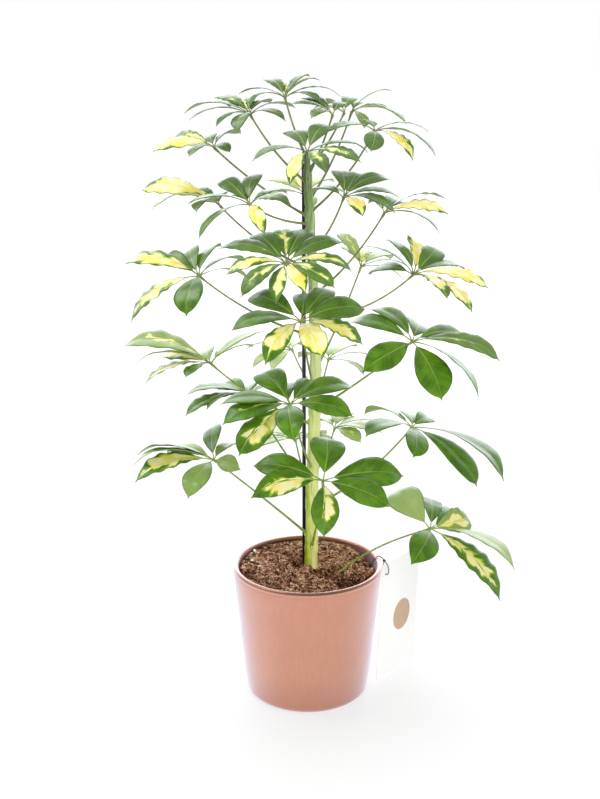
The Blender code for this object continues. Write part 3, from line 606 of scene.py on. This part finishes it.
def build_studio():
    """The camera, the lamps and the floor."""
    scene = bpy.context.scene
    lens = bpy.data.cameras.new("camera")
    lens.lens = LENS
    lens.sensor_width = SENSOR
    camera = bpy.data.objects.new("camera", lens)
    scene.collection.objects.link(camera)
    camera.location = CAMERA_AT
    camera.rotation_euler = (CAMERA_PITCH, 0, 0)
    scene.camera = camera

    light_room(scene)
    scene.view_settings.view_transform = "Standard"
    scene.view_settings.look = "None"

    for name, place, size, watts, shines in LAMPS:
        lamp = bpy.data.lights.new(name, "AREA")
        lamp.size = size
        lamp.energy = watts
        holder = bpy.data.objects.new(name, lamp)
        scene.collection.objects.link(holder)
        holder.location = place
        holder.visible_glossy = shines
        aim = LAMPS_AIM - Vector(place)
        holder.rotation_euler = aim.to_track_quat("-Z", "Y").to_euler()

    bm = bmesh.new()
    bmesh.ops.create_grid(bm, x_segments=1, y_segments=1, size=FLOOR_REACH)
    add_object("floor", to_mesh(bm, "floor"), studio_white())


# ---------------- pot and soil


def pot_outside(z):
    return POT_FOOT_RADIUS + (POT_RIM_RADIUS - POT_FOOT_RADIUS) * z / POT_HEIGHT


def pot_inside(z):
    return pot_outside(z) - POT_WALL


def arc(centre, radius, start, end, steps):
    turns = [math.radians(start + (end - start) * i / steps) for i in range(steps + 1)]
    return [(centre[0] + radius * math.cos(t), centre[1] + radius * math.sin(t)) for t in turns]


def turned(profile, turns):
    """A closed body turned from a profile that starts and ends on the axis."""
    bm = bmesh.new()
    rings = []
    for x, z in profile:
        if x == 0:
            rings.append([bm.verts.new((0, 0, z))])
            continue
        rings.append([bm.verts.new((x * math.cos(2 * math.pi * i / turns),
                                    x * math.sin(2 * math.pi * i / turns), z)) for i in range(turns)])
    for near, far in zip(rings, rings[1:]):
        for i in range(turns):
            j = (i + 1) % turns
            if len(near) == 1:
                bm.faces.new((near[0], far[i], far[j]))
            elif len(far) == 1:
                bm.faces.new((near[i], far[0], near[j]))
            else:
                bm.faces.new((near[i], far[i], far[j], near[j]))
    bmesh.ops.recalc_face_normals(bm, faces=bm.faces)
    return bm


def build_pot():
    lip = POT_WALL / 2
    top = POT_HEIGHT - lip
    foot = (pot_outside(0) - POT_FOOT_ROUND, POT_FOOT_ROUND)
    profile = [(0.0, POT_FLOOR), (pot_inside(POT_FLOOR) - 0.004, POT_FLOOR)]
    profile += [(pot_inside(POT_FLOOR), POT_FLOOR + 0.004)]
    profile += [(pot_inside(z), z) for z in (0.05, 0.10, 0.14, top - 0.006)]
    profile += arc((pot_outside(top) - lip, top), lip, 180, -20, 16)
    profile += [(pot_outside(z) - in_by, z) for z, in_by in LIP_GROOVE]
    profile += [(pot_outside(z), z) for z in (0.145, 0.115, 0.085, 0.055, 0.03)]
    profile += arc(foot, POT_FOOT_ROUND, 0, -90, 10)
    profile += [(pot_outside(0) - POT_FOOT_ROUND - 0.004, 0.0), (0.0, 0.0)]
    pot = add_object("glazed_pot", to_mesh(turned(profile, POT_TURNS), "glazed_pot"), copper_glaze())
    shade_smooth(pot)
    keep(pot, "copper_glaze", "pot")


def heap(x, y, centre_x, centre_y, radius):
    return math.exp(-((x - centre_x) ** 2 + (y - centre_y) ** 2) / radius ** 2)


def soil_height(x, y):
    """Height of the soil: it falls to the front right, and is dug out left and right of the stem."""
    fall = SOIL_FALL * (x - y) / POT_RIM_RADIUS
    lumps = noise.fractal(Vector((x, y, 0.3)) * 105, 0.8, 2.1, 4)
    crumbs = noise.fractal(Vector((x, y, 7.1)) * 330, 0.7, 2.0, 3)
    dug = sum(depth * heap(x, y, *place) for depth, place in SOIL_HEAPS)
    return min(SOIL_LEVEL - fall + 0.0030 * lumps + 0.0016 * crumbs - dug, SOIL_EDGE)


def build_soil():
    """The soil's rough top, with a skirt that goes down inside the pot; then its crumbs and fibres."""
    bm = bmesh.new()
    edge = pot_inside(SOIL_LEVEL) - SOIL_GAP
    turns = [2 * math.pi * j / SOIL_TURNS for j in range(SOIL_TURNS)]
    grid = []
    for i in range(1, SOIL_RINGS + 1):
        ring = []
        for turn in turns:
            x, y = edge * i / SOIL_RINGS * math.cos(turn), edge * i / SOIL_RINGS * math.sin(turn)
            z = soil_height(x, y)
            if i == SOIL_RINGS:
                reach = pot_inside(z) - SOIL_GAP
                x, y = reach * math.cos(turn), reach * math.sin(turn)
            ring.append(bm.verts.new((x, y, z)))
        grid.append(ring)
    base = SOIL_LEVEL - SOIL_SKIRT
    reach = pot_inside(base) - SOIL_GAP
    grid.append([bm.verts.new((reach * math.cos(turn), reach * math.sin(turn), base))
                 for turn in turns])
    middle = bm.verts.new((0, 0, soil_height(0, 0)))
    under = bm.verts.new((0, 0, base))
    for i in range(SOIL_TURNS):
        j = (i + 1) % SOIL_TURNS
        bm.faces.new((middle, grid[0][i], grid[0][j]))
        for inner, outer in zip(grid, grid[1:]):
            bm.faces.new((inner[i], outer[i], outer[j], inner[j]))
        bm.faces.new((under, grid[-1][j], grid[-1][i]))
    bmesh.ops.recalc_face_normals(bm, faces=bm.faces)
    brown = peat("milled_peat", "#1A0F0A", "#55352A", "#A87A62")
    soil = add_object("peat_bed", to_mesh(bm, "peat_bed"), brown)
    shade_smooth(soil)
    keep(soil, "peat", "soil")
    scatter_crumbs()


def random_spot(dice, margin):
    """A spot on the soil, clear of the pot's wall."""
    reach = (pot_inside(SOIL_LEVEL) - margin) * math.sqrt(dice.random())
    turn = 2 * math.pi * dice.random()
    return reach * math.cos(turn), reach * math.sin(turn)


def add_grain(bm, dice, place, size, flatness):
    """One broken grain: a squashed ball with jittered corners."""
    ball = bmesh.ops.create_icosphere(bm, subdivisions=1, radius=size)["verts"]
    spin = Matrix.Rotation(dice.uniform(0, 6.28), 3, (dice.random() - 0.5, dice.random() - 0.5, 1))
    stretch = Vector((dice.uniform(0.8, 1.6), dice.uniform(0.6, 1.1), flatness))
    for spot in ball:
        bent = Vector(a * b for a, b in zip(spot.co, stretch)) * dice.uniform(0.75, 1.25)
        spot.co = spin @ bent + place


def scatter_crumbs():
    """Loose crumbs in three tones, grains of perlite, and coir fibres in three tones."""
    tones = (("peat_crumbs_dark", 700, "#120A07", "#3A2218", "#6E4634"),
             ("peat_crumbs_brown", 900, "#5A3626", "#9A6A52", "#C8977C"),
             ("peat_crumbs_tan", 520, "#7E4E38", "#C08A6A", "#F0CBAE"))
    dice = random.Random(11)
    for name, count, dark, mid, light in tones:
        bm = bmesh.new()
        for _ in range(count):
            x, y = random_spot(dice, 0.004)
            size = dice.uniform(*CRUMB_SIZES)
            add_grain(bm, dice, Vector((x, y, soil_height(x, y) + size * 0.4)), size, 0.6)
        crumbs = add_object(name, to_mesh(bm, name), peat(name, dark, mid, light))
        keep(crumbs, "peat")
    bm = bmesh.new()
    white = list(PERLITE)
    for _ in range(PERLITE_BITS):
        x, y = random_spot(dice, 0.006)
        white.append((x, y, dice.uniform(*PERLITE_BIT_SIZES)))
    for x, y, size in white:
        add_grain(bm, dice, Vector((x, y, soil_height(x, y) + size * 0.6)), size, 0.9)
    keep(add_object("perlite_grains", to_mesh(bm, "perlite_grains"), perlite()), "peat")
    strands = []
    for _ in range(COIR_STRANDS):
        x, y = random_spot(dice, 0.010)
        turn, length = dice.uniform(0, 6.28), dice.uniform(*COIR_LENGTHS)
        bend = dice.uniform(-1.2, 1.2)
        line = []
        for step in range(5):
            x += math.cos(turn) * length / 4
            y += math.sin(turn) * length / 4
            turn += bend / 4
            if math.hypot(x, y) > pot_inside(SOIL_LEVEL) - 0.002:
                break
            line.append(Vector((x, y, soil_height(x, y) + 0.0006 + 0.0007 * math.sin(step * 0.8))))
        if len(line) > 1:
            strands.append((line, [dice.uniform(*COIR_RADII)] * len(line)))
    fibres = (("coir_fibres", "#84543C", "#CE9A76", "#F4D2B6"),
              ("coir_fibres_brown", "#5A3826", "#96684E", "#BE9074"),
              ("coir_fibres_dark", "#1E120C", "#4E3122", "#7A543E"))
    for first, (name, dark, mid, light) in enumerate(fibres):
        some = strands[first::len(fibres)]
        keep(add_object(name, rod_curve(name, some, 1), peat(name, dark, mid, light)), "peat")


# ---------------- stem, stake, card and string


def stem_at(height):
    """The point of the stem's axis, and its radius, at a height; all in metres."""
    spots = [(Vector((x, y, z)) * MM, radius * MM) for z, x, y, radius in STEM]
    for (low, r0), (high, r1) in zip(spots, spots[1:]):
        if height <= high.z:
            share = max((height - low.z) / (high.z - low.z), 0.0)
            return low.lerp(high, share), r0 + (r1 - r0) * share
    return spots[-1]


def smooth_step(value, low, high):
    t = min(max((value - low) / (high - low), 0.0), 1.0)
    return t * t * (3 - 2 * t)


def stem_reach(z, turn, joints):
    """How far the stem's skin is from its axis, at a height and an angle.

    It is swollen at each leaf joint with a scar under it, and its foot is grooved in front, where the
    first shoot grew on to it.
    """
    _, radius = stem_at(z)
    swell = sum(JOINT_SWELL * math.exp(-((z - j) / JOINT_REACH) ** 2) for j in joints)
    scar = sum(SCAR_DEPTH * math.exp(-((z - j + SCAR_BELOW) / SCAR_REACH) ** 2) for j in joints)
    rib = 0.0004 * noise.noise(Vector((math.cos(turn) * 2, math.sin(turn) * 2, z * 26)))
    front = math.exp(-((turn - GROOVE_TURN) / GROOVE_WIDTH) ** 2)
    groove = GROOVE_DEPTH * front * (1 - smooth_step(z, *GROOVE_FADES))
    return radius * 1.04 + swell - scar + rib - groove


def add_bud(bm, height, hub):
    """The pointed bud that sits in the angle above a petiole's foot."""
    axis, radius = stem_at(height + BUD_ABOVE)
    way = Vector((hub.x - axis.x, hub.y - axis.y, 0.0)).normalized()
    bud = bmesh.ops.create_icosphere(bm, subdivisions=2, radius=BUD_RADIUS)["verts"]
    for spot in bud:
        rise = spot.co.z / BUD_RADIUS
        spot.co = spot.co * (1 - 0.35 * rise) + Vector((0.0, 0.0, 0.5 * BUD_RADIUS * rise))
        spot.co += axis + way * (radius + 0.3 * BUD_RADIUS * (1 + rise))


def build_stem():
    """The stem, with a bud above the foot of each petiole."""
    low, high = STEM[0][0] * MM, STEM[-1][0] * MM
    joints = [petiole[0] * MM for _, _, petiole, _ in LEAVES if petiole]
    bm = bmesh.new()
    loops = []
    for i in range(STEM_RINGS + 1):
        z = low + (high - low) * i / STEM_RINGS
        axis = stem_at(z)[0]
        loop = []
        for k in range(STEM_SIDES):
            turn = 2 * math.pi * k / STEM_SIDES
            reach = stem_reach(z, turn, joints) * (0.55 if i == STEM_RINGS else 1.0)
            loop.append(bm.verts.new((axis.x + reach * math.cos(turn),
                                      axis.y + reach * math.sin(turn), z)))
        loops.append(loop)
    for near, far in zip(loops, loops[1:]):
        for i in range(STEM_SIDES):
            j = (i + 1) % STEM_SIDES
            bm.faces.new((near[i], near[j], far[j], far[i]))
    bm.faces.new(reversed(loops[0]))
    bm.faces.new(loops[-1])
    for _, hub, petiole, _ in LEAVES:
        if petiole:
            add_bud(bm, petiole[0] * MM, Vector(hub) * MM)
    stem = add_object("green_stem", to_mesh(bm, "green_stem"), green_bark())
    shade_smooth(stem)
    keep(stem, "green_stem", "stem")


def build_stake():
    foot, top = Vector(STAKE_FOOT), Vector(STAKE_TOP)
    profile = [(STAKE_RADIUS * math.sin(t), top.z - STAKE_RADIUS + STAKE_RADIUS * math.cos(t))
               for t in (math.pi / 2 * i / 6 for i in range(1, 7))]
    profile = [(0.0, top.z)] + profile + [(STAKE_RADIUS, foot.z), (0.0, foot.z)]
    bm = turned(profile, 24)
    for spot in bm.verts:
        share = (spot.co.z - foot.z) / (top.z - foot.z)
        line = foot.lerp(top, share)
        spot.co += Vector((line.x, line.y, 0.0))
    stake = add_object("stake_rod", to_mesh(bm, "stake_rod"), coated_steel())
    shade_smooth(stake)
    keep(stake, "coated_rod", "stake")


def on_card(across_by, up_by, out_by=0.0):
    across = Vector((math.cos(CARD_TURN), math.sin(CARD_TURN), 0.0))
    up = Vector((0.0, 0.0, 1.0)) * math.cos(CARD_LEAN) + across * math.sin(CARD_LEAN)
    across = across * math.cos(CARD_LEAN) - Vector((0.0, 0.0, 1.0)) * math.sin(CARD_LEAN)
    return Vector(CARD_CORNER) + across * across_by + up * up_by + across.cross(up) * out_by


def dress_card():
    """The card and its disc keep their CAD shapes and get their real finishes."""
    for part, finish in (("tag_card", card_paper()), ("tag_disc", tan_print())):
        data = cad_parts[part].data
        data.materials.clear()
        data.materials.append(finish)


def build_string():
    """The card's string, from the soil over the lip and through the card's hole, and its knot."""
    through = [on_card(*CARD_HOLE, out) for out in (STRING_THROUGH, 0.0, -STRING_THROUGH)]
    route = [Vector(spot) * MM for spot in STRING_FROM_SOIL] + through
    route += [Vector(spot) * MM for spot in STRING_FROM_HOLE]
    points = smooth_points(route, STRING_POINTS)
    cotton = twisted_string()
    run = [(points, [STRING_RADIUS] * len(points))]
    string = add_object("tag_cord", rod_curve("tag_cord", run), cotton)
    keep(string, "grey_string", "tag_string")
    bm = bmesh.new()
    bmesh.ops.create_icosphere(bm, subdivisions=3, radius=KNOT_RADIUS)
    for spot in bm.verts:
        wrap = 0.12 * math.sin(5 * math.atan2(spot.co.z, spot.co.x) + 900 * spot.co.y)
        spot.co *= 1 + wrap
    bmesh.ops.translate(bm, vec=Vector(KNOT_CENTRE) * MM, verts=bm.verts)
    knot = add_object("tag_cord_knot", to_mesh(bm, "tag_cord_knot"), cotton)
    shade_smooth(knot)
    keep(knot, "grey_string", "tag_knot")


# ---------------- leaves


class Leaflet:
    """One leaflet's own axes and shape, worked out from the plan."""

    def __init__(self, hub, axis, spec, dice):
        bearing, rise, length, cream, shown, breadth, paler = (*spec, *USUAL_LEAFLET[len(spec) - 4:])
        turn, lift = math.radians(bearing), math.radians(rise)
        young = smooth_step(hub.z, YOUNG_FROM, YOUNG_AT)
        self.hub = hub
        self.length = length * MM
        self.cream = cream / 9
        self.along = Vector((math.cos(turn) * math.cos(lift), math.sin(turn) * math.cos(lift),
                             math.sin(lift)))
        look = axis * (1 - abs(shown)) + (TO_FRONT if shown > 0 else TO_BACK) * abs(shown)
        self.face = (look - self.along * look.dot(self.along)).normalized()
        self.roll = dice.uniform(-0.10, 0.10) * (1 - 0.6 * young)
        self.twist = dice.uniform(-1, 1) * (0.22 + 0.25 * self.cream) * (1 - 0.5 * young)
        self.belly = dice.uniform(1.7, 2.6)
        self.point = dice.uniform(0.62, 0.92)
        self.half = 1.0
        self.half = (HALF_WIDTH * breadth * (1 - 0.1 * young) * dice.uniform(0.94, 1.06) * self.length
                     / max(self.width(i / 40) for i in range(41)))
        self.arch = 0.10 + 0.035 * young
        self.hook = dice.uniform(0.05, 0.13)
        self.fold = dice.uniform(0.14, 0.24) - 0.10 * young
        self.bulge = dice.uniform(0.10, 0.16)
        self.wave = dice.uniform(0.004, 0.014) + 0.085 * self.cream
        self.wave_count = dice.uniform(3.5, 6.0)
        self.wave_turn = dice.uniform(0, 6.28)
        self.sway = dice.uniform(-0.03, 0.03) * self.length
        self.drift = dice.uniform(-0.35, 0.35)
        self.seed = dice.random()
        # Painted back light: leaflets of leaves at the back, and those listed as paler, get a paler
        # tint.
        self.pale = max(smooth_step(hub.y, 0.03, 0.10), paler)

    def width(self, u):
        """Half width of the obovate blade along its length: widest past its middle, with a drip tip."""
        if u <= 0 or u >= 1:
            return 0.0
        body = u ** 0.9 * max(1 - (u / BODY_ENDS) ** self.belly, 0.0) ** self.point
        tip = TIP_WIDTH * min((1 - u) / (1 - BODY_ENDS) * 0.5, 1.0) if u > 0.5 else 0.0
        return self.half * max(body, tip)

    def rib(self, share):
        """A point on the midrib, at a share of the whole leaflet."""
        bow = math.sin(math.pi * share ** 0.9)
        end = max(share - 0.75, 0.0) / 0.25
        rise = self.arch * bow - self.hook * end * end
        side = self.along.cross(self.face)
        return (self.hub + self.along * (self.length * share) + self.face * (self.length * rise)
                + side * (self.sway * bow))

    def spot(self, u, s):
        """A point of the blade: u along it, s from -1 to 1 across it."""
        share = STALKLET + (1 - STALKLET) * u
        angle = self.roll + self.twist * share * share
        side = self.along.cross(self.face)
        across = side * math.cos(angle) + self.face * math.sin(angle)
        face = self.face * math.cos(angle) - side * math.sin(angle)
        half = self.width(u)
        lift = self.fold * abs(s) - self.bulge * s * s
        turn = 2 * math.pi * self.wave_count * u + self.wave_turn + (1.3 if s > 0 else 0)
        lift += self.wave * s * s * math.sin(turn)
        return self.rib(share) + across * (half * s) + face * (half * lift)


def add_blade(bm, layers, leaflet):
    """The blade as a sheet of quads that narrows to its foot and its tip."""
    rows = []
    for i in range(ALONG_STEPS + 1):
        u = i / ALONG_STEPS
        u = 0.004 + 0.996 * u if i < ALONG_STEPS else 1.0
        row = []
        for j in range(ACROSS_STEPS + 1):
            s = 2 * j / ACROSS_STEPS - 1
            if i == ALONG_STEPS and j:
                row.append(row[0])
                continue
            spot = bm.verts.new(leaflet.spot(u, s))
            reach = leaflet.width(u) * s
            run = leaflet.length * u - 0.8 * abs(reach)
            spot[layers["lay"]] = Vector((reach + (0.05 if s > 0 else 0.0), run, leaflet.seed * 3))
            spot[layers["off_centre"]] = abs(s - leaflet.drift * 4 * u * (1 - u))
            spot[layers["margin"]] = abs(s)
            spot[layers["rib"]] = abs(reach) / (0.0007 * (1.15 - u))
            spot[layers["tipward"]] = u
            spot[layers["cream"]] = leaflet.cream
            spot[layers["pale"]] = leaflet.pale
            row.append(spot)
        rows.append(row)
    for near, far in zip(rows, rows[1:]):
        for j in range(ACROSS_STEPS):
            if far[j] is far[j + 1]:
                bm.faces.new((near[j], near[j + 1], far[j]))
            else:
                bm.faces.new((near[j], near[j + 1], far[j + 1], far[j]))


def petiole_line(hub, petiole, count=16):
    """Points along the petiole, from its foot on the stem or in the soil to its leaflets' hub."""
    if petiole is None:
        foot, bend = Vector(SHOOT_FOOT) * MM, Vector(SHOOT_BEND) * MM
    else:
        height, sag = petiole
        foot = stem_at(height * MM)[0]
        reach = hub - foot
        bend = foot + reach * 0.55 - Vector((0.0, 0.0, sag * reach.length))
    shares = [i / (count - 1) for i in range(count)]
    return [foot * (1 - t) ** 2 + bend * (2 * t * (1 - t)) + hub * t * t for t in shares]


def petiole_radius(share):
    """Thick where it clasps the stem, slim along its run, and swollen at the hub."""
    clasp = 0.0016 * math.exp(-(share / 0.05) ** 2)
    return 0.0010 + 0.0007 * (1 - share) ** 2 + clasp + 0.0009 * math.exp(-((1 - share) / 0.03) ** 2)


def build_leaf(plan, index, skins, stalk_skin):
    """One compound leaf: its blades, with a real thickness, and its petiole with the stalklets."""
    name, hub, petiole, leaflets = plan
    dice = random.Random(400 + index)
    hub = Vector(hub) * MM
    facing = FACING * (1 - hub.z / FACING_ENDS)
    axis = Vector(((hub.x - stem_at(hub.z)[0].x) * LEAN, hub.y * LEAN - facing, 1.0)).normalized()
    bm = bmesh.new()
    layers = {key: bm.verts.layers.float.new(key)
              for key in ("off_centre", "margin", "rib", "tipward", "cream", "pale")}
    layers["lay"] = bm.verts.layers.float_vector.new("lay")
    line = petiole_line(hub, petiole)
    shares = [i / (len(line) - 1) for i in range(len(line))]
    stalks = [(line, [petiole_radius(t) for t in shares])]
    for spec in leaflets:
        leaflet = Leaflet(hub, axis, spec, dice)
        add_blade(bm, layers, leaflet)
        run = [leaflet.rib(STALKLET * 1.6 * i / 6) for i in range(7)]
        stalks.append((run, [0.0009 - 0.00008 * i for i in range(7)]))
    blades = add_object(name + "_blades", to_mesh(bm, name + "_blades"), *skins)
    shade_smooth(blades)
    body = blades.modifiers.new("thickness", "SOLIDIFY")
    body.thickness = BLADE_THICKNESS
    body.offset = -1
    body.material_offset = 1
    keep(blades, "leaf", name)
    stalk = add_object(name + "_stalk", rod_curve(name + "_stalk", stalks), stalk_skin)
    keep(stalk, "leaf", name)


def build_leaves():
    # The high tint is painted glare that greys the upper leaves.
    # The young tint is painted back light: the paler green of leaflets at the back.
    upper = leaf_skin("leaf_upper_skin", {
        "dark": "#42690A", "green": "#5B8A12", "young": "#A8BC74",
        "high": "#586848", "lime": "#9AB83A", "gold": "#EADB5A",
        "cream": "#F5ECB0", "vein": "#B9C97A"}, 0.30, 0.12)
    under = leaf_skin("leaf_under_skin", {
        "dark": "#7C9A4C", "green": "#8DAA5C", "young": "#B4C690",
        "high": "#8A9A70", "lime": "#B0C468", "gold": "#EBDF90",
        "cream": "#F3EDBE", "vein": "#CBD69C"}, 0.55, 0.20)
    stalk_skin = petiole_skin()
    for index, plan in enumerate(LEAVES):
        build_leaf(plan, index, (upper, under), stalk_skin)


build_studio()
build_string()
build_pot()
build_soil()
build_stem()
build_stake()
dress_card()
build_leaves()
